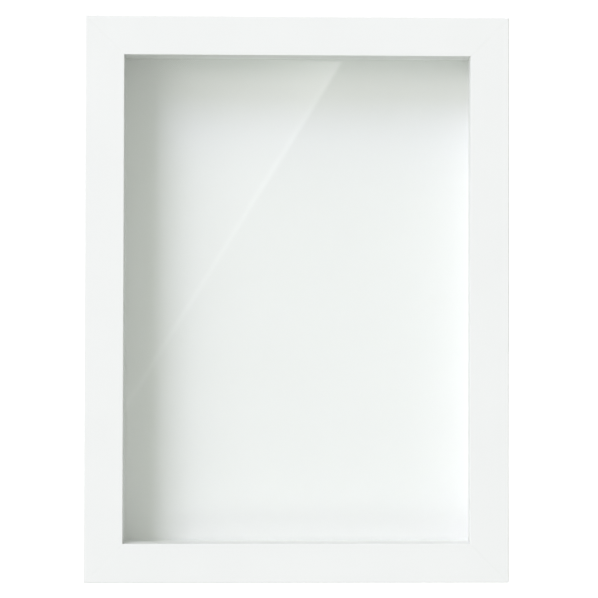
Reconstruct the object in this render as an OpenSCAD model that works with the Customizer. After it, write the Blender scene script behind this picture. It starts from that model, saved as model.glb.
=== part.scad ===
// Shadow box: a deep mitred picture frame with a glass front, spacer strips that form the inner walls,
// and a back panel held by turn buttons. It stands on its bottom rail or hangs from either hanger.
// Millimetres. +Z is up, the glass front faces -Y, and the origin is the centre of the underside.

/* [Frame] */
// Width of the frame, outside
frame_w = 300; // [240:1:400]
// Height of the frame, outside
frame_h = 400; // [330:1:600]
// Depth of the frame, from the front face to the rear face
frame_d = 45; // [36:1:70]
// Width of a rail's front face
face_w = 27.5; // [27.5:0.5:40]
// Thickness of the lip in front of the glass
lip_t = 10; // [4:0.5:12]
// How far the lip reaches past the rebate wall
lip_overlap = 5.5; // [2.5:0.5:5.5]
// Radius of the eased edges
ease_r = 0.8; // [0.4:0.1:2]

/* [Glass, spacers and back] */
// Thickness of the glass
glass_t = 2; // [1.5:0.5:3]
// Play between the rebate and the glass, card and panel, in all
pane_play = 1; // [0.6:0.1:2]
// Thickness of a spacer strip
spacer_t = 1; // [1:0.1:2.5]
// Play between the rebate and the spacers, in all
spacer_play = 0.4; // [0.2:0.1:0.8]
// Thickness of the white backdrop card
card_t = 1; // [0.5:0.1:2]
// Thickness of the back panel
panel_t = 3; // [2:0.5:4]
// How far the panel lies below the rear face
panel_recess = 0.2; // [0.1:0.1:0.5]

/* [Turn buttons] */
// Distance from a button's pivot to the centre of its tip
button_reach = 22; // [18:1:24]
// Radius of the round end at the pivot
button_r = 5.5; // [4.5:0.5:6]
// Radius of the tip
button_tip_r = 3.5; // [2.5:0.5:4]
// Thickness of the steel
button_t = 1; // [0.8:0.1:1.5]
// Distance from the rebate wall to a pivot
button_inset = 6.5; // [6:0.5:7]
// Distance from the middle of a long rail to its two pivots
button_long = 100; // [60:5:110]
// Distance from the middle of a short rail to its two pivots
button_short = 72; // [50:1:75]

/* [Hangers] */
// Distance from the rail's outer edge to the ring's pin
hanger_inset = 11; // [11:0.1:11.4]
// Radius of the bend of a D-ring, to the middle of its wire
ring_r = 10; // [8:0.5:10]
// Radius of a D-ring's wire
wire_r = 0.9; // [0.7:0.1:1]
// Width of a hanger strap
strap_w = 11; // [9:0.5:11]
// Thickness of a hanger strap
strap_t = 0.8; // [0.6:0.1:1]

/* [Wall bumpers] */
// Radius of a bumper
bumper_r = 5; // [4:0.5:6]
// Height of a bumper
bumper_h = 4; // [3.5:0.1:5]
// Distance from the middle of a short rail to its two bumpers
bumper_place = 112; // [105:1:115]

/* [Hidden] */
$fn = 64;
gap = 0.1; // between a turning button and the rail, and between it and its screw's head
sink = 1; // how far a cutter runs past the face it opens

// Levels along Y, from the front to the rear.
front_y = -frame_d / 2;
rear_y = frame_d / 2;
glass_y = front_y + lip_t;
spacer_y = glass_y + glass_t;
panel_y = rear_y - panel_recess - panel_t;
card_y = panel_y - card_t;
spacer_d = card_y - spacer_y;

// Sizes across the front.
rebate_u = face_w - lip_overlap;
rebate_w = frame_w - 2 * rebate_u;
rebate_h = frame_h - 2 * rebate_u;
pane_w = rebate_w - pane_play;
pane_h = rebate_h - pane_play;
spacer_w = rebate_w - spacer_play;
spacer_h = rebate_h - spacer_play;
mid_z = frame_h / 2;

// Turn buttons and their screws.
button_u = rebate_u - button_inset;
button_y = rear_y + gap;
pivot_r = 1.75;
pivot_clearance = 0.05;
button_head_r = 3.5;
button_head_h = 2.2;
button_screw_l = 15;
rib_r = 2.2;
rib_rise = 0.6;

// Hangers and their screws.
bore_r = wire_r + 0.1;
barrel_r = bore_r + strap_t + 0.1;
ring_y = rear_y + barrel_r + 0.05;
strap_screw_u = hanger_inset + 5.5;
strap_head_r = 3;
strap_head_h = 1.8;
strap_screw_r = 1.4;
strap_screw_l = 12;

// Corner nails: an angle of spring steel, driven across each mitre from the rear.
nail_leg = 5;
nail_t = 0.8;
nail_h = 10;
nail_sink = 0.3;
nail_places = [10, 19];

// The four sides: the angle about Y that takes the bottom rail there.
BOTTOM = 0;
RIGHT = 1;
TOP = 2;
LEFT = 3;
side_angles = [0, -90, 180, 90];
function is_short(side) = side % 2 == 0;
function side_length(side) = is_short(side) ? frame_w : frame_h;
function side_reach(side) = is_short(side) ? frame_h / 2 : frame_w / 2;

rails = [
    ["frame_rail_bottom", BOTTOM],
    ["frame_rail_right", RIGHT],
    ["frame_rail_top", TOP],
    ["frame_rail_left", LEFT],
];
spacers = [
    ["spacer_bottom", BOTTOM],
    ["spacer_right", RIGHT],
    ["spacer_top", TOP],
    ["spacer_left", LEFT],
];
// Each turn button: its name, its side, and which way along the side it lies from the middle.
buttons = [
    ["turn_button_bottom_left", BOTTOM, -1],
    ["turn_button_bottom_right", BOTTOM, 1],
    ["turn_button_right_lower", RIGHT, -1],
    ["turn_button_right_upper", RIGHT, 1],
    ["turn_button_top_right", TOP, -1],
    ["turn_button_top_left", TOP, 1],
    ["turn_button_left_upper", LEFT, -1],
    ["turn_button_left_lower", LEFT, 1],
];
// Each hanger: the end of its nodes' names and its side.
hangers = [["top", TOP], ["left", LEFT]];

// Puts something drawn for the bottom side, with its outer edge on z = 0, on any side of the frame.
module on_side(side) {
    translate([0, 0, mid_z])
        rotate([0, side_angles[side], 0])
            translate([0, 0, -side_reach(side)])
                children();
}

// Stands a shape drawn along +Z on the rear of a rail: along the side, from its outer edge, and at a level.
module on_rear(along, u, y) {
    translate([along, y, u]) rotate([-90, 0, 0]) children();
}

function button_along(b) = b[2] * (is_short(b[1]) ? button_short : button_long);

// ---- Frame rails ----

// What an eased edge takes off a square corner at the origin.
module eased_corner(r) {
    difference() {
        translate([-sink, -sink]) square(r + sink);
        translate([r, r]) circle(r);
    }
}

// A rail's section: x from the outer edge to the sight edge, y from the front to the rear.
module rail_section() {
    difference() {
        translate([0, front_y]) square([face_w, frame_d]);
        translate([rebate_u, glass_y]) square([face_w, frame_d]);
        translate([0, front_y]) eased_corner(ease_r);
        translate([0, rear_y]) mirror([0, 1]) eased_corner(ease_r);
        translate([face_w, front_y]) mirror([1, 0]) eased_corner(ease_r);
    }
}

// The room between the two mitres of a rail.
module mitre_wedge(length) {
    rotate([90, 0, 0])
        linear_extrude(frame_d + 2 * sink, center = true)
            polygon([
                [-length / 2, 0],
                [length / 2, 0],
                [length / 2 - face_w, face_w],
                [face_w - length / 2, face_w],
            ]);
}

module frame_rail(side) {
    length = side_length(side);
    color("white")
    difference() {
        on_side(side)
            intersection() {
                translate([length / 2, 0, 0])
                    rotate([0, -90, 0])
                        linear_extrude(length) rail_section();
                mitre_wedge(length);
            }
        corner_nail_set(nail_h + sink);
        for (b = buttons)
            if (b[1] == side)
                on_side(side) screw_hole(button_along(b), button_u, pivot_r, button_screw_l);
        for (h = hangers)
            if (h[1] == side)
                on_side(side) screw_hole(0, strap_screw_u, strap_screw_r, strap_screw_l);
    }
}

// ---- Corner nails ----

// One nail, with its point towards the sight corner and its legs towards the outer edges.
module corner_nail(height) {
    rotate([90, 0, 0])
        linear_extrude(height)
            union() {
                square([nail_leg, nail_t]);
                square([nail_t, nail_leg]);
            }
}

// All the nails. A height over nail_h makes them reach past the rear face, to cut their slots.
module corner_nail_set(height) {
    top_y = rear_y - nail_sink - nail_h + height;
    for (corner = [[1, 1, 0], [-1, 1, -90], [-1, -1, 180], [1, -1, 90]])
        for (place = nail_places)
            translate([
                corner[0] * (frame_w / 2 - place),
                top_y,
                mid_z + corner[1] * (frame_h / 2 - place),
            ])
                rotate([0, corner[2], 0]) corner_nail(height);
}

module corner_nails() {
    color("silver") corner_nail_set(nail_h);
}

// ---- Glass, spacers and back ----

// A sheet that lies in the rebate, from a level to the level behind it.
module rebate_sheet(y, thickness) {
    translate([-pane_w / 2, y, mid_z - pane_h / 2]) cube([pane_w, thickness, pane_h]);
}

module glass_pane() {
    color("lightcyan", 0.3) rebate_sheet(glass_y, glass_t);
}

// The short spacers run the full width, and the long ones stand between them.
module spacer(side) {
    length = is_short(side) ? spacer_w : spacer_h - 2 * spacer_t;
    from_edge = rebate_u + spacer_play / 2;
    color("whitesmoke")
    on_side(side)
        translate([-length / 2, spacer_y, from_edge])
            cube([length, spacer_d, spacer_t]);
}

module backdrop_card() {
    color("white") rebate_sheet(card_y, card_t);
}

module back_panel() {
    color("burlywood") rebate_sheet(panel_y, panel_t);
}

// ---- Screws ----

// The shank of a wood screw, pointing down -Z from its head's underside.
module screw_shank(r, length) {
    point = 2 * r;
    translate([0, 0, point - length]) cylinder(r = r, h = length - point);
    translate([0, 0, -length]) cylinder(r1 = 0.2, r2 = r, h = point);
}

// A pan head with a cross recess, standing on z = 0.
module screw_head(r, h) {
    dome_r = 1.6 * r;
    slot = 1.25 * r;
    difference() {
        intersection() {
            cylinder(r = r, h = h);
            translate([0, 0, h - dome_r]) sphere(dome_r);
        }
        for (turn = [0, 90])
            rotate([0, 0, turn])
                translate([-slot / 2, -r / 8, h / 2]) cube([slot, r / 4, h]);
    }
}

module screw(r, length, head_r, head_h) {
    union() {
        screw_head(head_r, head_h);
        // The shank starts inside the head, so that the two are one solid.
        translate([0, 0, head_h / 4]) screw_shank(r, length + head_h / 4);
    }
}

// The pilot hole of a screw in a rail's rear face.
module screw_hole(along, u, r, length) {
    clearance = 0.03;
    on_rear(along, u, rear_y) {
        translate([0, 0, -length]) cylinder(r = r + clearance, h = length + sink);
    }
}

// ---- Turn buttons ----

// The outline of a turn button: two round ends and the tangents between them.
module button_outline() {
    c = (button_r - button_tip_r) / button_reach;
    s = sqrt(1 - c * c);
    circle(button_r);
    translate([button_reach, 0]) circle(button_tip_r);
    polygon([
        [button_r * c, button_r * s],
        [button_r * c, -button_r * s],
        [button_reach + button_tip_r * c, -button_tip_r * s],
        [button_reach + button_tip_r * c, button_tip_r * s],
    ]);
}

// The stiffening rib: a low round ridge with round ends, standing on z = 0.
module button_rib() {
    from = button_r + 2.5;
    to = button_reach - 2.5;
    intersection() {
        translate([0, 0, rib_rise - rib_r])
            union() {
                translate([from, 0, 0]) sphere(rib_r);
                translate([to, 0, 0]) sphere(rib_r);
                translate([from, 0, 0]) rotate([0, 90, 0]) cylinder(r = rib_r, h = to - from);
            }
        translate([0, -rib_r, -button_t / 2]) cube([button_reach, 2 * rib_r, rib_r]);
    }
}

// A turn button lies along its rail, clear of the panel, with its tip towards the rail's middle.
module turn_button(b) {
    tip_turn = b[2] > 0 ? 180 : 0;
    color("silver")
    on_side(b[1])
        on_rear(button_along(b), button_u, button_y)
            rotate([0, 0, tip_turn])
                difference() {
                    union() {
                        linear_extrude(button_t) button_outline();
                        translate([0, 0, button_t]) button_rib();
                    }
                    translate([0, 0, -sink])
                        cylinder(r = pivot_r + pivot_clearance, h = button_t + 2 * sink);
                }
}

module turn_button_screws() {
    head_y = button_y + button_t + gap;
    color("gainsboro")
    for (b = buttons)
        on_side(b[1])
            on_rear(button_along(b), button_u, head_y)
                screw(pivot_r, button_screw_l - 1 + head_y - rear_y, button_head_r, button_head_h);
}

// ---- Hangers ----

// A strap with a round end at its screw and a rolled barrel round the ring's pin.
module hanger_strap(side) {
    color("silver")
    on_side(side)
        difference() {
            union() {
                translate([-strap_w / 2, rear_y, hanger_inset])
                    cube([strap_w, strap_t, strap_screw_u - hanger_inset]);
                on_rear(0, strap_screw_u, rear_y) cylinder(r = strap_w / 2, h = strap_t);
                along_pin(strap_w, barrel_r);
            }
            along_pin(strap_w + 2 * sink, bore_r);
            on_rear(0, strap_screw_u, rear_y - sink)
                cylinder(r = strap_screw_r + 0.1, h = strap_t + 2 * sink);
        }
}

// A cylinder on the axis of the ring's pin.
module along_pin(length, r) {
    translate([-length / 2, ring_y, hanger_inset]) rotate([0, 90, 0]) cylinder(r = r, h = length);
}

// A D-ring, folded down over its strap and round the screw's head.
module hanger_ring(side) {
    color("silver")
    on_side(side)
        union() {
            along_pin(2 * ring_r, wire_r);
            translate([0, ring_y, hanger_inset]) {
                rotate([90, 0, 0])
                    rotate_extrude(angle = 180) translate([ring_r, 0]) circle(wire_r);
                for (end = [-1, 1])
                    translate([end * ring_r, 0, 0]) sphere(wire_r);
            }
        }
}

module hanger_screws() {
    head_y = rear_y + strap_t;
    color("gainsboro")
    for (h = hangers)
        on_side(h[1])
            on_rear(0, strap_screw_u, head_y)
                screw(strap_screw_r, strap_screw_l - 1 + strap_t, strap_head_r, strap_head_h);
}

// ---- Wall bumpers ----

// Soft domes at the four rear corners, which keep the hardware off the wall.
module wall_bumpers() {
    dome_r = 1.3 * bumper_r;
    bumper_u = rebate_u / 2;
    color("lightgray", 0.8)
    for (side = [BOTTOM, TOP])
        for (way = [-1, 1])
            on_side(side)
                on_rear(way * bumper_place, bumper_u, rear_y)
                    intersection() {
                        cylinder(r = bumper_r, h = bumper_h);
                        translate([0, 0, bumper_h - dome_r]) sphere(dome_r);
                    }
}

for (r = rails) {
    frame_rail(r[1]);
}
corner_nails();
glass_pane();
for (s = spacers) {
    spacer(s[1]);
}
backdrop_card();
back_panel();
for (b = buttons) {
    turn_button(b);
}
turn_button_screws();
for (h = hangers) {
    hanger_strap(h[1]);
    hanger_ring(h[1]);
}
hanger_screws();
wall_bumpers();
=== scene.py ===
import math

import bmesh
import bpy
from mathutils import Matrix, Vector


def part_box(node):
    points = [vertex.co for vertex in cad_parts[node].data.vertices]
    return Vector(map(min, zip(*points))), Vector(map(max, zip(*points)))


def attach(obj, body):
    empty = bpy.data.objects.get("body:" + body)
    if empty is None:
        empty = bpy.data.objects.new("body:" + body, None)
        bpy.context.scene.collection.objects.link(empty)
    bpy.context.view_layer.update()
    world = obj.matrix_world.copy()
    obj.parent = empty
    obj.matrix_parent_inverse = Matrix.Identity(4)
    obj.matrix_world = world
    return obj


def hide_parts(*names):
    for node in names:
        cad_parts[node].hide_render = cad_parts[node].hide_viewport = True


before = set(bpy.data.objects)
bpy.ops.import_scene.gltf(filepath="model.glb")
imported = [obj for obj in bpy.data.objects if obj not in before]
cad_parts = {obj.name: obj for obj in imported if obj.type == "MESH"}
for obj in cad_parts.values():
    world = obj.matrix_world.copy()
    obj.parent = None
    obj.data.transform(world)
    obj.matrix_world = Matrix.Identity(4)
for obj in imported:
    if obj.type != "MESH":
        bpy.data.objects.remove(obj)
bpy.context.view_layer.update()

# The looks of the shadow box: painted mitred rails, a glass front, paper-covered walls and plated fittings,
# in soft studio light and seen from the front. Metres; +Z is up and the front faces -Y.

MM = 0.001

# ---- Places taken from the frame ----

rail_lo, rail_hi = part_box("frame_rail_bottom")
FRONT_Y, REAR_Y = rail_lo.y, rail_hi.y
HALF_W = rail_hi.x
FACE_W = rail_hi.z
MID_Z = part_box("frame_rail_left")[1].z / 2
GLASS_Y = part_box("glass_pane")[0].y

# The four sides, the angles about Y that take the bottom side there, and their names.
BOTTOM, RIGHT, TOP, LEFT = SIDES = (0, 1, 2, 3)
SIDE_ANGLES = (0, -90, 180, 90)
SIDE_NAMES = ("bottom", "right", "top", "left")

# ---- Sizes that the boxes of the nodes don't show ----

LIP_OVERLAP = 5.5 * MM
EASE_R = 0.8 * MM
SIGHT_EASE_R = 0.3 * MM
MITRE_EASE = 0.06 * MM
GLASS_EDGE = 0.3 * MM
SPACER_EDGE = 0.08 * MM
CARD_EDGE = 0.05 * MM
BOARD_EDGE = 0.2 * MM

# The nails are sunk below the rear face, and their shapes move back by more than that to cut their slots.
SLOT_SHIFT = 0.9 * MM
# Points closer than this are taken for one, and faces closer than this to a plane for a part of it.
WELD = 0.001 * MM
ON_PLANE = 0.02 * MM

PIVOT_R = 1.75 * MM
PIVOT_CLEARANCE = 0.05 * MM
BUTTON_R = 5.5 * MM
BUTTON_TIP_R = 3.5 * MM
BUTTON_REACH = 22 * MM
BUTTON_T = 1 * MM
# The gap between a button and the rail, and between it and its screw's head.
BUTTON_GAP = 0.1 * MM
BUTTON_EDGE = 0.22 * MM
RIB_H = 0.58 * MM
RIB_HALF_W = 1.7 * MM
RIB_START = BUTTON_R + 2.6 * MM
RIB_END = BUTTON_REACH - 2.2 * MM
BUTTON_SCREW = {"r": PIVOT_R, "length": 15 * MM, "head_r": 3.5 * MM, "head_h": 2.2 * MM}

HANGER_U = 11 * MM
STRAP_SCREW_U = 16.5 * MM
STRAP_W = 11 * MM
STRAP_T = 0.8 * MM
ROLL_R = 1.45 * MM
RING_R = 10 * MM
RING_CORNER_R = 2.2 * MM
WIRE_R = 0.9 * MM
HANGER_SCREW = {"r": 1.4 * MM, "length": 12 * MM, "head_r": 3 * MM, "head_h": 1.8 * MM}

BUMPER_R = 5 * MM
BUMPER_H = 4 * MM


def on_side(side):
    """Takes what is drawn for the bottom side, with its outer edge on z = 0, to any side of the frame."""
    reach = HALF_W if side in (LEFT, RIGHT) else MID_Z
    turn = Matrix.Rotation(math.radians(SIDE_ANGLES[side]), 4, "Y")
    return Matrix.Translation((0, 0, MID_Z)) @ turn @ Matrix.Translation((0, 0, -reach))


def on_rear(along, u, y):
    """Stands what is drawn along +Z on the rear of the bottom rail, at a height u."""
    return Matrix.Translation((along, y, u)) @ Matrix.Rotation(-math.pi / 2, 4, "X")


# ---- Mesh helpers ----


def arc(centre, radius, start, end, steps):
    """Points along an arc in a plane, with its angles in degrees."""
    points = []
    for i in range(steps + 1):
        a = math.radians(start + (end - start) * i / steps)
        points.append((centre[0] + radius * math.cos(a), centre[1] + radius * math.sin(a)))
    return points


def dome(radius, height, dome_r, soften, turn, steps):
    """A profile's last points: the top of its side, and a dome up to its crown.

    The softened edge between them takes soften off the side, and turn, in degrees, off the dome.
    """
    centre = height - dome_r
    rim = math.acos(radius / dome_r)
    side_top = centre + dome_r * math.sin(rim) - soften
    return [(radius, side_top), *arc((0, centre), dome_r, math.degrees(rim) + turn, 90, steps)]


def add_rings(bm, rings, loop=False):
    """Joins rings, each with the same number of points, into a tube that has ends or closes in a loop."""
    made = [[bm.verts.new(p) for p in ring] for ring in rings]
    following = made[1:] + made[:1] if loop else made[1:]
    for a, b in zip(made, following):
        for i in range(len(a)):
            j = (i + 1) % len(a)
            bm.faces.new((a[i], a[j], b[j], b[i]))
    if not loop:
        bm.faces.new(made[0][::-1])
        bm.faces.new(made[-1])


def add_lathe(bm, profile, steps=48):
    """Turns a profile of (radius, height) points about Z. A point on the axis closes the form."""
    rings = []
    for r, z in profile:
        turns = [2 * math.pi * i / steps for i in range(steps)] if r > 1e-9 else [0]
        rings.append([bm.verts.new((r * math.cos(t), r * math.sin(t), z)) for t in turns])
    for a, b in zip(rings, rings[1:]):
        for i in range(steps):
            j = (i + 1) % steps
            if len(a) == 1:
                bm.faces.new((a[0], b[i], b[j]))
            elif len(b) == 1:
                bm.faces.new((a[i], b[0], a[j]))
            else:
                bm.faces.new((a[i], b[i], b[j], a[j]))


def mesh_from(bm, name, matrix=None):
    """Turns a bmesh into a mesh with outward normals."""
    if matrix is not None:
        bm.transform(matrix)
    bmesh.ops.recalc_face_normals(bm, faces=bm.faces)
    mesh = bpy.data.meshes.new(name)
    bm.to_mesh(mesh)
    bm.free()
    return mesh


def block_mesh(node, edge):
    """A block that fills a node's box, with its edges rounded."""
    lo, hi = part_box(node)
    bm = bmesh.new()
    place = Matrix.Translation((lo + hi) / 2) @ Matrix.Diagonal((*(hi - lo), 1))
    bmesh.ops.create_cube(bm, size=1, matrix=place)
    bmesh.ops.bevel(bm, geom=bm.edges[:], offset=edge, segments=2, profile=0.5, affect="EDGES")
    return mesh_from(bm, node)


def cut(mesh, cutter):
    """The mesh with the cutter's solids taken out of it."""
    body = bpy.data.objects.new("cut_body", mesh)
    tool = bpy.data.objects.new("cut_tool", cutter)
    for o in (body, tool):
        bpy.context.scene.collection.objects.link(o)
    change = body.modifiers.new("cut", "BOOLEAN")
    change.operation = "DIFFERENCE"
    change.solver = "EXACT"
    change.object = tool
    graph = bpy.context.evaluated_depsgraph_get()
    result = bpy.data.meshes.new_from_object(body.evaluated_get(graph))
    bpy.data.objects.remove(body)
    bpy.data.objects.remove(tool)
    return result


def joined(name, shape, places):
    """One mesh of several placed copies of a shape."""
    bm = bmesh.new()
    for matrix in places:
        copy = shape.copy()
        copy.transform(matrix)
        bm.from_mesh(copy)
        bpy.data.meshes.remove(copy)
    return mesh_from(bm, name)


def mark_sharp(mesh, angle):
    """Shades a mesh smoothly, but breaks the shading at edges that turn by more than an angle."""
    bm = bmesh.new()
    bm.from_mesh(mesh)
    bm.normal_update()
    for face in bm.faces:
        face.smooth = True
    for edge in bm.edges:
        edge.smooth = edge.calc_face_angle(0) < angle
    bm.to_mesh(mesh)
    bm.free()


def piece(node, finish, mesh, body, materials, sharp=35, flat=False):
    """Shows a mesh as a piece that rides on a body, and stands for a CAD node.

    Edges that turn by more than sharp, in degrees, stay sharp. A flat piece shades its broad faces as true
    planes, and only its eased edges as curves.
    """
    obj = bpy.data.objects.new(node + "_" + finish, mesh)
    bpy.context.scene.collection.objects.link(obj)
    mark_sharp(mesh, math.radians(sharp))
    mesh.materials.clear()
    for m in materials:
        mesh.materials.append(m)
    if flat:
        shade = obj.modifiers.new("flat_faces", "WEIGHTED_NORMAL")
        shade.keep_sharp = True
        shade.weight = 100
    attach(obj, body)
    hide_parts(node)


# ---- Materials ----

# Painted shade on the inner faces of the lip: there the white paint is darkened to this share of the full
# paint's brightness.
LIP_EDGE_PAINTED_SHADE_LEVEL = 0.86
# What a face of glass mirrors, seen square on.
GLASS_MIRROR = 0.04


class Finish:
    """A material under construction. Patterns are in the piece's own coordinates, so scales are per metre."""

    def __init__(self, name):
        self.material = bpy.data.materials.new(name)
        self.material.use_nodes = True
        self.tree = self.material.node_tree
        self.shader = self.tree.nodes["Principled BSDF"]
        self.place = self.tree.nodes.new("ShaderNodeTexCoord").outputs["Object"]

    def feed(self, socket, value):
        """Links a socket to another one, or gives it a value."""
        if isinstance(value, bpy.types.NodeSocket):
            self.tree.links.new(value, socket)
        else:
            socket.default_value = value

    def node(self, kind, **inputs):
        """A node with its inputs fed by name."""
        made = self.tree.nodes.new(kind)
        for key, value in inputs.items():
            self.feed(made.inputs[key.replace("_", " ")], value)
        return made

    def join(self, kind, *parts):
        """A node with its inputs fed in order."""
        made = self.tree.nodes.new(kind)
        for socket, part in zip(made.inputs, parts):
            self.feed(socket, part)
        return made

    def set(self, **inputs):
        """Feeds inputs of the shader."""
        for key, value in inputs.items():
            self.feed(self.shader.inputs[key.replace("_", " ")], value)

    def show(self, shader):
        """Puts another shader in the place of the usual one."""
        self.tree.nodes.remove(self.shader)
        self.feed(self.tree.nodes["Material Output"].inputs["Surface"], shader)

    def noise(self, scale, detail=3.0, roughness=0.55, stretch=(1, 1, 1)):
        spread = self.node("ShaderNodeMapping", Vector=self.place, Scale=stretch)
        return self.node(
            "ShaderNodeTexNoise", Vector=spread.outputs[0], Scale=scale, Detail=detail, Roughness=roughness
        ).outputs[0]

    def cells(self, scale):
        """The distance to the nearest of many scattered points."""
        return self.node("ShaderNodeTexVoronoi", Vector=self.place, Scale=scale).outputs["Distance"]

    def ramp(self, value, *stops):
        """Colours or grey levels at positions that rise along 0 to 1."""
        made = self.node("ShaderNodeValToRGB", Fac=value)
        elements = made.color_ramp.elements
        elements[0].position = stops[0][0]
        elements[1].position = stops[-1][0]
        for position, _ in stops[1:-1]:
            elements.new(position)
        for element, (_, level) in zip(elements, stops):
            element.color = (level, level, level, 1) if isinstance(level, float) else (*level, 1)
        return made.outputs["Color"]

    def levels(self, value, high, stops):
        """Grey levels at shares of the way from 0 to high."""
        share = self.node("ShaderNodeMapRange", Value=value, From_Max=high)
        return self.ramp(share.outputs[0], *stops)

    def math(self, operation, a, b):
        made = self.join("ShaderNodeMath", a, b)
        made.operation = operation
        return made.outputs[0]

    def blend(self, factor, a, b):
        """A colour between a and b."""
        made = self.node("ShaderNodeMix", Factor=factor)
        made.data_type = "RGBA"
        colours = [s for s in made.inputs if s.type == "RGBA"]
        self.feed(colours[0], a)
        self.feed(colours[1], b)
        return [s for s in made.outputs if s.type == "RGBA"][0]

    def bump(self, height, depth, below=None):
        """Relief whose full height is depth, in metres."""
        made = self.node("ShaderNodeBump", Height=height, Strength=1.0, Distance=depth)
        if below is not None:
            self.feed(made.inputs["Normal"], below)
        return made.outputs[0]


def paint(name, brightness):
    """Satin white paint, sprayed: faint orange peel and slight patches of sheen. A brightness under 1 greys
    it, as painted shade.
    """
    f = Finish(name)
    low, high = (Vector(colour) * brightness for colour in ((0.864, 0.877, 0.862), (0.880, 0.893, 0.878)))
    patches = f.noise(14, detail=2)
    peel = f.noise(520, detail=2, roughness=0.4)
    grain = f.noise(2600, detail=2)
    f.set(
        Base_Color=f.ramp(patches, (0.3, low), (0.7, high)),
        Roughness=f.ramp(f.noise(90, detail=4), (0.3, 0.36), (0.7, 0.46)),
        Normal=f.bump(grain, 0.002 * MM, f.bump(peel, 0.009 * MM)),
    )
    return f.material


def wrapped_board():
    """Satin white paper over board: a faint mottle, and a swell that is too shallow to cast a shade."""
    f = Finish("wrapped_white_board")
    mottle = f.noise(1500, detail=4, roughness=0.6)
    f.set(
        Base_Color=f.ramp(mottle, (0.3, (0.872, 0.878, 0.864)), (0.7, (0.888, 0.893, 0.881))),
        Roughness=f.ramp(f.noise(220), (0.3, 0.28), (0.7, 0.36)),
        Specular_IOR_Level=0.5,
        Normal=f.bump(f.noise(160, detail=2), 0.002 * MM),
    )
    return f.material


def card_face():
    """Matt white mounting card with a fine felt tooth."""
    f = Finish("white_card")
    felt = f.noise(1100, detail=5, roughness=0.65)
    clouds = f.noise(18, detail=2)
    tone = f.ramp(clouds, (0.3, (0.940, 0.946, 0.931)), (0.7, (0.948, 0.953, 0.939)))
    f.set(
        Base_Color=f.blend(f.ramp(felt, (0.35, 0.0), (0.65, 0.25)), tone, (0.962, 0.967, 0.953, 1)),
        Roughness=f.ramp(felt, (0.3, 0.78), (0.7, 0.9)),
        Specular_IOR_Level=0.25,
        Normal=f.bump(felt, 0.01 * MM),
    )
    return f.material


def card_core():
    """The cut edge of the card: pale grey pulp in thin layers."""
    f = Finish("card_pulp_edge")
    layers = f.noise(300, detail=3, stretch=(1, 40, 1))
    f.set(
        Base_Color=f.ramp(layers, (0.3, (0.60, 0.58, 0.53)), (0.7, (0.74, 0.72, 0.67))),
        Roughness=0.92,
        Normal=f.bump(layers, 0.03 * MM),
    )
    return f.material


def hardboard():
    """Pressed brown fibre board: matted fibres, dark flecks and slight sheen from the press."""
    f = Finish("brown_hardboard")
    fibres = f.noise(620, detail=6, roughness=0.7)
    strands = f.noise(240, detail=5, roughness=0.7, stretch=(1, 1, 0.7))
    flecks = f.ramp(f.cells(430), (0.06, 1.0), (0.16, 0.0))
    clouds = f.noise(9, detail=3)
    base = f.ramp(clouds, (0.3, (0.235, 0.130, 0.066)), (0.7, (0.300, 0.172, 0.090)))
    base = f.blend(f.ramp(fibres, (0.35, 0.0), (0.7, 0.55)), base, (0.42, 0.262, 0.150, 1))
    base = f.blend(f.ramp(strands, (0.5, 0.0), (0.8, 0.45)), base, (0.155, 0.084, 0.045, 1))
    base = f.blend(f.math("MULTIPLY", flecks, 0.6), base, (0.105, 0.058, 0.034, 1))
    f.set(
        Base_Color=base,
        Roughness=f.ramp(fibres, (0.3, 0.48), (0.7, 0.68)),
        Normal=f.bump(strands, 0.02 * MM, f.bump(fibres, 0.03 * MM)),
    )
    return f.material


def board_edge():
    """The sawn edge of the fibre board: rougher and paler."""
    f = Finish("sawn_board_edge")
    fuzz = f.noise(900, detail=6, roughness=0.75, stretch=(1, 2.5, 1))
    f.set(
        Base_Color=f.ramp(fuzz, (0.3, (0.27, 0.165, 0.09)), (0.7, (0.46, 0.315, 0.195))),
        Roughness=0.95,
        Normal=f.bump(fuzz, 0.08 * MM),
    )
    return f.material


def plated(name, low, high, rough):
    """Plated steel: a soft mottled sheen and a fine grain."""
    f = Finish(name)
    mottle = f.noise(320, detail=4)
    f.set(
        Base_Color=f.ramp(mottle, (0.3, low), (0.7, high)),
        Metallic=1.0,
        Roughness=f.ramp(f.noise(700, detail=3), (0.3, rough), (0.7, rough + 0.14)),
        Normal=f.bump(f.noise(2400, detail=3), 0.004 * MM),
    )
    return f.material


def clear_rubber():
    """Soft clear rubber, gone slightly milky."""
    f = Finish("clear_soft_rubber")
    haze = f.noise(260, detail=3)
    f.set(
        Base_Color=f.ramp(haze, (0.3, (0.66, 0.67, 0.64)), (0.7, (0.76, 0.77, 0.74))),
        Roughness=f.ramp(haze, (0.3, 0.22), (0.7, 0.34)),
        Subsurface_Weight=0.6,
        Subsurface_Radius=(0.004, 0.004, 0.003),
        Subsurface_Scale=1.0,
        Normal=f.bump(f.noise(900), 0.006 * MM),
    )
    return f.material


def clear_glass():
    """Float glass: light passes straight through, and each face mirrors a little, more at a slant."""
    f = Finish("clear_float_glass")
    facing = f.node("ShaderNodeLayerWeight", Blend=0.5).outputs["Facing"]
    slant = f.math("POWER", facing, 5.0)
    share = f.math("ADD", f.math("MULTIPLY", slant, 1 - GLASS_MIRROR), GLASS_MIRROR)
    through = f.node("ShaderNodeBsdfTransparent", Color=(0.988, 0.994, 0.990, 1))
    mirror = f.node("ShaderNodeBsdfGlossy", Color=(1, 1, 1, 1), Roughness=0.0)
    f.show(f.join("ShaderNodeMixShader", share, through.outputs[0], mirror.outputs[0]).outputs[0])
    return f.material


# ---- Frame rails ----


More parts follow.
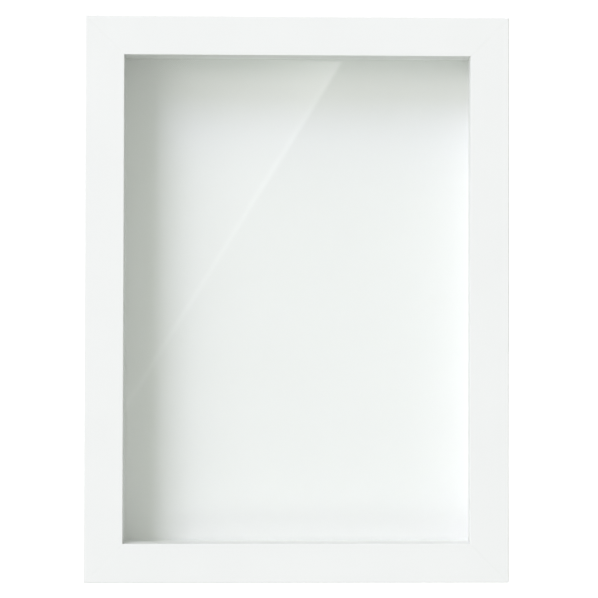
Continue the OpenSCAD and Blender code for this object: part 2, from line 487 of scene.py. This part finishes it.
def rail_profile():
    """A rail's section as (u, y): u from the outer edge to the sight edge, y from the front to the rear."""
    sight, rebate, r, s = FACE_W, FACE_W - LIP_OVERLAP, EASE_R, SIGHT_EASE_R
    steps = 6
    return [
        *arc((r, FRONT_Y + r), r, 180, 270, steps),
        *arc((sight - s, FRONT_Y + s), s, 270, 360, steps),
        (sight, GLASS_Y),
        (rebate, GLASS_Y),
        (rebate, REAR_Y),
        *arc((r, REAR_Y - r), r, 90, 180, steps),
    ]


def inset(points, by):
    """A closed outline, listed anticlockwise, moved inwards."""
    moved = []
    for i, p in enumerate(points):
        a, b, c = Vector(points[i - 1]), Vector(p), Vector(points[(i + 1) % len(points)])
        n1, n2 = (Vector((-d.y, d.x)).normalized() for d in (b - a, c - b))
        middle = (n1 + n2).normalized()
        moved.append(tuple(b + middle * (by / middle.dot(n1))))
    return moved


def make_rail(side, slots, materials):
    """A rail with nail slots, one paint all over, and painted shade on the inner faces of its lip: the same
    paint, darker.
    """
    length = 2 * (MID_Z if side in (LEFT, RIGHT) else HALF_W)
    full = rail_profile()
    eased = inset(full, MITRE_EASE)
    rings = []
    for way, outline, back in ((-1, eased, 0), (-1, full, MITRE_EASE), (1, full, MITRE_EASE), (1, eased, 0)):
        rings.append([(way * (length / 2 - u - back), y, u) for u, y in outline])
    bm = bmesh.new()
    add_rings(bm, rings)
    node = "frame_rail_" + SIDE_NAMES[side]
    mesh = cut(mesh_from(bm, node, on_side(side)), slots.copy())
    piece(node, "painted", mesh, "frame", materials, flat=True)
    back = on_side(side).inverted()
    # The faces at the sight edge, the lip's inner faces, take the second, darker paint: painted shade.
    for p in mesh.polygons:
        p.material_index = 1 if abs((back @ p.center).z - FACE_W) < ON_PLANE else 0


def make_rails():
    """The nails' own shapes, moved back so that they reach past the rear face, cut the slots."""
    bm = bmesh.new()
    bm.from_mesh(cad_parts["corner_nails"].data)
    bmesh.ops.remove_doubles(bm, verts=bm.verts, dist=WELD)
    slots = mesh_from(bm, "nail_slots", Matrix.Translation((0, SLOT_SHIFT, 0)))
    # The second paint is the first one darkened, as painted shade on the lip's inner faces.
    materials = [paint("satin_white_paint", 1.0), paint("painted_shade_white_paint", LIP_EDGE_PAINTED_SHADE_LEVEL)]
    for side in SIDES:
        make_rail(side, slots, materials)


def make_nails():
    """The nails keep their CAD shapes."""
    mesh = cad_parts["corner_nails"].data
    mesh.materials.clear()
    mesh.materials.append(plated("spring_steel", (0.34, 0.34, 0.35), (0.44, 0.44, 0.45), 0.35))


# ---- Glass, spacers and back ----


def make_glass():
    mesh = block_mesh("glass_pane", GLASS_EDGE)
    piece("glass_pane", "ground", mesh, "frame", [clear_glass()], flat=True)


def make_spacers():
    board = wrapped_board()
    for name in SIDE_NAMES:
        node = "spacer_" + name
        mesh = block_mesh(node, SPACER_EDGE)
        piece(node, "wrapped", mesh, "frame", [board], flat=True)


def make_sheet(node, edge, faces, rim):
    """A flat sheet of the back cover: one material on its faces and another round its rim."""
    mesh = block_mesh(node, edge)
    piece(node, "sheet", mesh, "back_cover", [faces, rim], flat=True)
    for p in mesh.polygons:
        p.material_index = 0 if abs(p.normal.y) > 0.6 else 1


# ---- Turn buttons ----


def button_outline(steps):
    """Points round a turn button: its tip, its round end and the tangents, with its pivot at the origin."""
    lean = math.degrees(math.acos((BUTTON_R - BUTTON_TIP_R) / BUTTON_REACH))
    tip = arc((BUTTON_REACH, 0), BUTTON_TIP_R, -lean, lean, steps)
    end = arc((0, 0), BUTTON_R, lean, 360 - lean, 2 * steps)
    sides = []
    for (x0, y0), (x1, y1) in ((tip[-1], end[0]), (end[-1], tip[0])):
        sides.append([(x0 + (x1 - x0) * k / steps, y0 + (y1 - y0) * k / steps) for k in range(1, steps)])
    return tip + sides[0] + end + sides[1]


def rib_height(x, y):
    """The stiffening rib that is pressed up along a turn button."""
    nearest = min(max(x, RIB_START), RIB_END)
    d = math.hypot(x - nearest, y) / RIB_HALF_W
    return RIB_H * math.cos(d * math.pi / 2) ** 2 if d < 1 else 0.0


def button_mesh():
    """A pressed steel turn button with a rolled edge and a rib, flat side down on z = 0."""
    hole = PIVOT_R + PIVOT_CLEARANCE
    outline = button_outline(14)
    steps = 16

    def ring(share, z, rise=0.0, trim=0.0):
        """The points at a share of the way from the hole to the edge, which is trimmed back."""
        points = []
        for x, y in outline:
            reach = math.hypot(x, y)
            r = hole + (reach - hole - trim) * share
            px, py = x / reach * r, y / reach * r
            points.append((px, py, z + rise * rib_height(px, py)))
        return points

    rings = [ring(0, 0), ring(1, 0, trim=BUTTON_EDGE)]
    for a in (30, 60, 90):
        back = BUTTON_EDGE * (1 - math.sin(math.radians(a)))
        rings.append(ring(1, BUTTON_EDGE * (1 - math.cos(math.radians(a))), trim=back))
    for a in (0, 30, 60):
        back = BUTTON_EDGE * (1 - math.cos(math.radians(a)))
        rings.append(ring(1, BUTTON_T - BUTTON_EDGE * (1 - math.sin(math.radians(a))), trim=back))
    rings.extend(ring(k / steps, BUTTON_T, 1.0, trim=BUTTON_EDGE) for k in range(steps, -1, -1))
    bm = bmesh.new()
    add_rings(bm, rings, loop=True)
    return mesh_from(bm, "turn_button")


def make_button(node, side, shape, steel):
    """Places a button by its box, with its tip towards the middle of its rail. Gives its pivot's place."""
    lo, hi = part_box(node)
    middle = on_side(side).inverted() @ ((lo + hi) / 2)
    pivot = middle.x + math.copysign((BUTTON_REACH + BUTTON_TIP_R - BUTTON_R) / 2, middle.x)
    turn = Matrix.Rotation(math.pi if pivot > 0 else 0, 4, "Z")
    mesh = shape.copy()
    mesh.transform(on_side(side) @ on_rear(pivot, middle.z, lo.y) @ turn)
    piece(node, "pressed", mesh, node, [steel])
    return side, pivot, middle.z


def make_buttons(steel):
    """Gives the side, the place along it and the height of each button's pivot."""
    shape = button_mesh()
    pivots = []
    for side in SIDES:
        for node in sorted(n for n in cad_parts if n.startswith("turn_button_" + SIDE_NAMES[side])):
            pivots.append(make_button(node, side, shape, steel))
    return pivots


# ---- Screws ----


def cross(reach, half):
    """The outline of a plus sign, anticlockwise."""
    arm = [(reach, -half), (reach, half), (half, half)]
    points = []
    for turn in range(4):
        c, n = round(math.cos(turn * math.pi / 2)), round(math.sin(turn * math.pi / 2))
        points += [(c * x - n * y, n * x + c * y) for x, y in arm]
    return points


def screw_mesh(r, length, head_r, head_h):
    """A pan head wood screw with a cross recess, its head standing on z = 0 and its shank below."""
    tip_r, tip_h, neck_h = 0.25 * r, 0.4 * MM, 0.2 * MM
    chamfer = 0.15 * MM
    bm = bmesh.new()
    profile = [(0, -length), (tip_r, tip_h - length), (r, 2 * r - length), (r, -neck_h), (r, 0)]
    profile += [(head_r - chamfer, 0), (head_r, chamfer)]
    profile += dome(head_r, head_h, dome_r=1.6 * head_r, soften=0.1 * MM, turn=3, steps=10)
    add_lathe(bm, profile)
    body = mesh_from(bm, "screw")

    reach, half = 0.62 * head_r, 0.14 * head_r
    floor_z, above_z = 0.42 * head_h, head_h + 0.5 * MM
    bm = bmesh.new()
    rings = []
    for z, taper in ((floor_z, 0.45), (above_z, 1.1)):
        rings.append([(x, y, z) for x, y in cross(reach * taper, half * (0.5 + 0.5 * taper))])
    add_rings(bm, rings)
    return cut(body, mesh_from(bm, "cross_recess"))


def make_screws(node, size, head_y, places, turns, steel):
    """One piece of all the screws of a kind. turns is the first one's turn and the step to the next."""
    first, step = turns
    placed = []
    for i, (side, along, u) in enumerate(places):
        spin = Matrix.Rotation(math.radians(first + step * i), 4, "Z")
        placed.append(on_side(side) @ on_rear(along, u, head_y) @ spin)
    piece(node, "plated", joined(node, screw_mesh(**size), placed), "frame", [steel])


# ---- Hangers ----


def strap_mesh(ring_y):
    """A steel strip with a round end, rolled round the ring's pin. Drawn for the bottom side."""
    half_t = STRAP_T / 2
    plate_y = REAR_Y + half_t
    r = STRAP_W / 2
    rise_steps, roll_steps, roll_angle = 4, 24, 300

    # The middle line from the round end to the roll's free edge, as (u, y) and half the strip's width there.
    line = []
    for u, half in arc((STRAP_SCREW_U, 0), r, 4, 90, 14):
        line.append(((u, plate_y), half))
    for k in range(1, rise_steps + 1):
        share = k / rise_steps
        u = STRAP_SCREW_U + (HANGER_U - STRAP_SCREW_U) * share
        line.append(((u, plate_y + (ring_y - ROLL_R - plate_y) * share**2), r))
    for k in range(1, roll_steps + 1):
        a = math.radians(roll_angle * k / roll_steps)
        line.append(((HANGER_U - ROLL_R * math.sin(a), ring_y - ROLL_R * math.cos(a)), r))

    # A section with eased corners across the line at each of its points.
    ease, least = 0.2 * MM, 0.1 * MM
    rings = []
    for i, ((u, y), half) in enumerate(line):
        before = Vector(line[max(i - 1, 0)][0])
        after = Vector(line[min(i + 1, len(line) - 1)][0])
        ahead = (after - before).normalized()
        flat = max(half - ease, least)
        left = ((-flat, 1), (-half, 0.5), (-half, -0.5), (-flat, -1))
        section = (*left, *((-x, out) for x, out in reversed(left)))
        rings.append([(x, y + ahead.x * half_t * out, u - ahead.y * half_t * out) for x, out in section])
    bm = bmesh.new()
    add_rings(bm, rings)
    return mesh_from(bm, "hanger_strap")


def ring_mesh(ring_y):
    """A D-ring: a straight pin, two tight corners and a half round. Drawn for the bottom side."""
    corner = RING_CORNER_R
    lift = math.asin(corner / (RING_R - corner))
    side_x = (RING_R - corner) * math.cos(lift)
    lift = math.degrees(lift)
    pin_steps, wire_steps = 6, 20
    pin = [(side_x * k / pin_steps, 0) for k in range(pin_steps + 1)]
    bend = arc((side_x, corner), corner, -80, lift, 10)
    bow = arc((0, 0), RING_R, lift + 3, 180 - lift - 3, 48)
    path = pin + bend + bow + [(-x, y) for x, y in reversed(pin[1:] + bend)]
    up = Vector((0, 0, 1))
    rings = []
    for i, p in enumerate(path):
        ahead = Vector(path[(i + 1) % len(path)]) - Vector(path[i - 1])
        across = ahead.to_3d().normalized().cross(up)
        turns = [2 * math.pi * k / wire_steps for k in range(wire_steps)]
        rings.append([Vector(p).to_3d() + WIRE_R * (math.cos(t) * across + math.sin(t) * up) for t in turns])
    bm = bmesh.new()
    add_rings(bm, rings, loop=True)
    lay = Matrix.Translation((0, ring_y, HANGER_U)) @ Matrix.Rotation(math.pi / 2, 4, "X")
    return mesh_from(bm, "hanger_ring", lay)


def make_hangers(steel):
    lo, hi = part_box("hanger_ring_top")
    ring_y = (lo.y + hi.y) / 2
    for side in (TOP, LEFT):
        strap_node, ring_node = "hanger_strap_" + SIDE_NAMES[side], "hanger_ring_" + SIDE_NAMES[side]
        strap = strap_mesh(ring_y)
        strap.transform(on_side(side))
        piece(strap_node, "rolled", strap, "frame", [steel])
        ring = ring_mesh(ring_y)
        ring.transform(on_side(side))
        piece(ring_node, "wire", ring, ring_node, [steel], sharp=60)


# ---- Wall bumpers ----


def make_bumpers(rubber):
    chamfer = 0.3 * MM
    profile = [(0, 0), (BUMPER_R - chamfer, 0), (BUMPER_R, chamfer)]
    profile += dome(BUMPER_R, BUMPER_H, dome_r=1.3 * BUMPER_R, soften=0.35 * MM, turn=4, steps=12)
    bm = bmesh.new()
    add_lathe(bm, profile)
    shape = mesh_from(bm, "bumper")
    lo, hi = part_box("wall_bumpers")
    along, u = hi.x - BUMPER_R, lo.z + BUMPER_R
    places = [on_side(side) @ on_rear(way * along, u, REAR_Y) for side in (BOTTOM, TOP) for way in (-1, 1)]
    mesh = joined("wall_bumpers", shape, places)
    piece("wall_bumpers", "moulded", mesh, "frame", [rubber])


# ---- Studio ----

CAMERA_PLACE = (-0.0150, FRONT_Y - 0.9486, 0.1891)
CAMERA_YAW = -0.981
CAMERA_PITCH = 0.663
CAMERA_ROLL = 0.148
CAMERA_LENS = 80.91
CAMERA_SENSOR = 36

ROOM_LEVEL = (0.559, 0.575, 0.543)
BACKDROP_LEVEL = 1.1
FLOOR_LEVEL = 0.6
FLOOR_HALF = 6
LIGHT_DISTANCE = 30

# The glow behind the camera that the glass mirrors: the foot and the head of its slanting edge, and its reach
# from there. The levels are its light at points up that edge and away from it, from 0 to 1.
GLOW_Y = -1.5
GLOW_FOOT = Vector((-0.2819, GLOW_Y, 0.0149))
GLOW_HEAD = Vector((0.1136, GLOW_Y, 0.6579))
GLOW_REACH = 0.18
GLOW_PEAK = 1.3
GLOW_RISE = (
    (0.45, 0.0), (0.57, 0.12), (0.64, 0.22), (0.72, 0.26), (0.79, 0.35), (0.86, 0.5), (0.93, 0.85), (1.0, 1.0)
)
GLOW_FADE = ((0.0, 0.0), (0.05, 1.0), (0.25, 0.85), (0.45, 0.6), (0.7, 0.3), (0.92, 0.0))
GLOW_RIM = 0.38
GLOW_RIM_FADE = ((0.0, 0.0), (0.02, 0.5), (0.04, 1.0), (0.06, 0.6), (0.09, 0.0))


def make_camera():
    """Nearly square on to the front, from a little left of and below its middle."""
    data = bpy.data.cameras.new("camera")
    data.sensor_width = CAMERA_SENSOR
    data.lens = CAMERA_LENS
    camera = bpy.data.objects.new("camera", data)
    bpy.context.scene.collection.objects.link(camera)
    yaw = Matrix.Rotation(math.radians(CAMERA_YAW), 4, "Z")
    pitch = Matrix.Rotation(math.radians(90 + CAMERA_PITCH), 4, "X")
    roll = Matrix.Rotation(math.radians(CAMERA_ROLL), 4, "Z")
    camera.matrix_world = Matrix.Translation(CAMERA_PLACE) @ yaw @ pitch @ roll
    bpy.context.scene.camera = camera


def make_world():
    """White to the camera, and an even dim room to everything else."""
    world = bpy.data.worlds.new("studio")
    bpy.context.scene.world = world
    world.use_nodes = True
    tree = world.node_tree
    tree.nodes.clear()
    seen = tree.nodes.new("ShaderNodeBackground")
    seen.inputs["Color"].default_value = (1, 1, 1, 1)
    seen.inputs["Strength"].default_value = BACKDROP_LEVEL
    room = tree.nodes.new("ShaderNodeBackground")
    room.inputs["Color"].default_value = (*ROOM_LEVEL, 1)
    path = tree.nodes.new("ShaderNodeLightPath")
    mix = tree.nodes.new("ShaderNodeMixShader")
    out = tree.nodes.new("ShaderNodeOutputWorld")
    tree.links.new(path.outputs["Is Camera Ray"], mix.inputs[0])
    tree.links.new(room.outputs[0], mix.inputs[1])
    tree.links.new(seen.outputs[0], mix.inputs[2])
    tree.links.new(mix.outputs[0], out.inputs["Surface"])


def make_floor():
    """A pale floor that only the camera sees: it throws no light or shade on the frame."""
    f = Finish("studio_floor")
    f.set(Base_Color=(0.9, 0.9, 0.9, 1), Roughness=0.8, Specular_IOR_Level=0.1)
    f.set(Emission_Color=(1, 1, 1, 1), Emission_Strength=FLOOR_LEVEL)
    bm = bmesh.new()
    bmesh.ops.create_grid(bm, x_segments=1, y_segments=1, size=FLOOR_HALF)
    mesh = mesh_from(bm, "floor")
    mesh.materials.append(f.material)
    floor = bpy.data.objects.new("studio_floor", mesh)
    bpy.context.scene.collection.objects.link(floor)
    floor.visible_diffuse = False
    floor.visible_glossy = False
    floor.visible_shadow = False


def glow_light(length):
    """Light that grows up the slanting edge and fades away from it, with a bright rim, and hides nothing."""
    f = Finish("glow")
    across, up = f.node("ShaderNodeSeparateXYZ", Vector=f.place).outputs[:2]
    rise = f.levels(up, length, GLOW_RISE)
    fade = f.levels(across, GLOW_REACH, GLOW_FADE)
    rim = f.levels(across, GLOW_REACH, GLOW_RIM_FADE)
    patch = f.math("MULTIPLY", f.math("MULTIPLY", rise, fade), GLOW_PEAK)
    shine = f.node("ShaderNodeEmission", Strength=f.math("ADD", patch, f.math("MULTIPLY", rim, GLOW_RIM)))
    clear = f.node("ShaderNodeBsdfTransparent")
    f.show(f.join("ShaderNodeAddShader", shine.outputs[0], clear.outputs[0]).outputs[0])
    return f.material


def make_glow():
    """A faint patch of light with a rim along one slanting edge, seen only as a reflection in the glass."""
    along = GLOW_HEAD - GLOW_FOOT
    length = along.length
    bm = bmesh.new()
    # The sheet runs on past both ends of the edge, as its rim does.
    foot, head = -0.5 * length, 1.5 * length
    corners = ((0, foot), (0, head), (GLOW_REACH, head), (GLOW_REACH, foot))
    bm.faces.new([bm.verts.new((x, y, 0)) for x, y in corners])
    mesh = bpy.data.meshes.new("glow")
    bm.to_mesh(mesh)
    bm.free()
    mesh.materials.append(glow_light(length))
    glow = bpy.data.objects.new("studio_glow", mesh)
    bpy.context.scene.collection.objects.link(glow)
    y_axis = along.normalized()
    x_axis = Vector((-y_axis.z, 0, y_axis.x))
    turn = Matrix((x_axis, y_axis, x_axis.cross(y_axis))).transposed().to_4x4()
    glow.matrix_world = Matrix.Translation(GLOW_FOOT) @ turn
    glow.visible_camera = False
    glow.visible_diffuse = False
    glow.visible_transmission = False
    glow.visible_shadow = False


def softbox(name, azimuth, elevation, width, height, watts, mirrored=True):
    """A far soft light aimed at the frame's middle, with its angles and angular size in degrees.

    Azimuth 0 is in front and 90 is to the right. The power is per colour channel. A light that isn't
    mirrored stays out of reflections, so that the glass doesn't show it from the other side.
    """
    data = bpy.data.lights.new(name, "AREA")
    data.shape = "RECTANGLE"
    data.size = 2 * LIGHT_DISTANCE * math.tan(math.radians(width / 2))
    data.size_y = 2 * LIGHT_DISTANCE * math.tan(math.radians(height / 2))
    data.energy = max(watts)
    data.color = [w / max(watts) for w in watts]
    light = bpy.data.objects.new(name, data)
    bpy.context.scene.collection.objects.link(light)
    a, e = math.radians(azimuth), math.radians(elevation)
    away = Vector((math.sin(a) * math.cos(e), -math.cos(a) * math.cos(e), math.sin(e)))
    light.location = Vector((0, 0, MID_Z)) + away * LIGHT_DISTANCE
    light.rotation_mode = "QUATERNION"
    light.rotation_quaternion = (-away).to_track_quat("-Z", "Y")
    light.visible_camera = False
    light.visible_glossy = mirrored


def make_studio():
    bpy.context.scene.view_settings.view_transform = "Standard"
    make_camera()
    make_world()
    make_floor()
    make_glow()
    softbox("key_light", -36, 36, 24, 24, (2400, 2320, 3120))
    softbox("left_panel", -44, 8, 40, 16, (1990, 1810, 1930), mirrored=False)
    softbox("high_panel", -36, 56, 24, 24, (1480, 1510, 1080))
    softbox("low_panel", -48, -20, 48, 8, (1340, 1430, 1380), mirrored=False)
    softbox("rear_panel", 150, 35, 30, 30, (2100, 2050, 2260))
    softbox("rear_fill", -135, 12, 16, 40, (820, 800, 880))


def make_fittings():
    zinc = plated("zinc_plate", (0.50, 0.50, 0.48), (0.62, 0.62, 0.60), 0.26)
    nickel = plated("nickel_plate", (0.58, 0.56, 0.52), (0.68, 0.66, 0.62), 0.18)
    bright = plated("bright_zinc_plate", (0.56, 0.57, 0.58), (0.68, 0.69, 0.70), 0.2)
    pivots = make_buttons(zinc)
    button_top = REAR_Y + BUTTON_GAP + BUTTON_T + BUTTON_GAP
    make_screws("turn_button_screws", BUTTON_SCREW, button_top, pivots, (0, 37), bright)
    strap_holes = [(side, 0, STRAP_SCREW_U) for side in (TOP, LEFT)]
    make_screws("hanger_screws", HANGER_SCREW, REAR_Y + STRAP_T, strap_holes, (20, 50), bright)
    make_hangers(nickel)
    make_bumpers(clear_rubber())
    make_nails()


make_studio()
make_rails()
make_glass()
make_spacers()
make_sheet("backdrop_card", CARD_EDGE, card_face(), card_core())
make_sheet("back_panel", BOARD_EDGE, hardboard(), board_edge())
make_fittings()
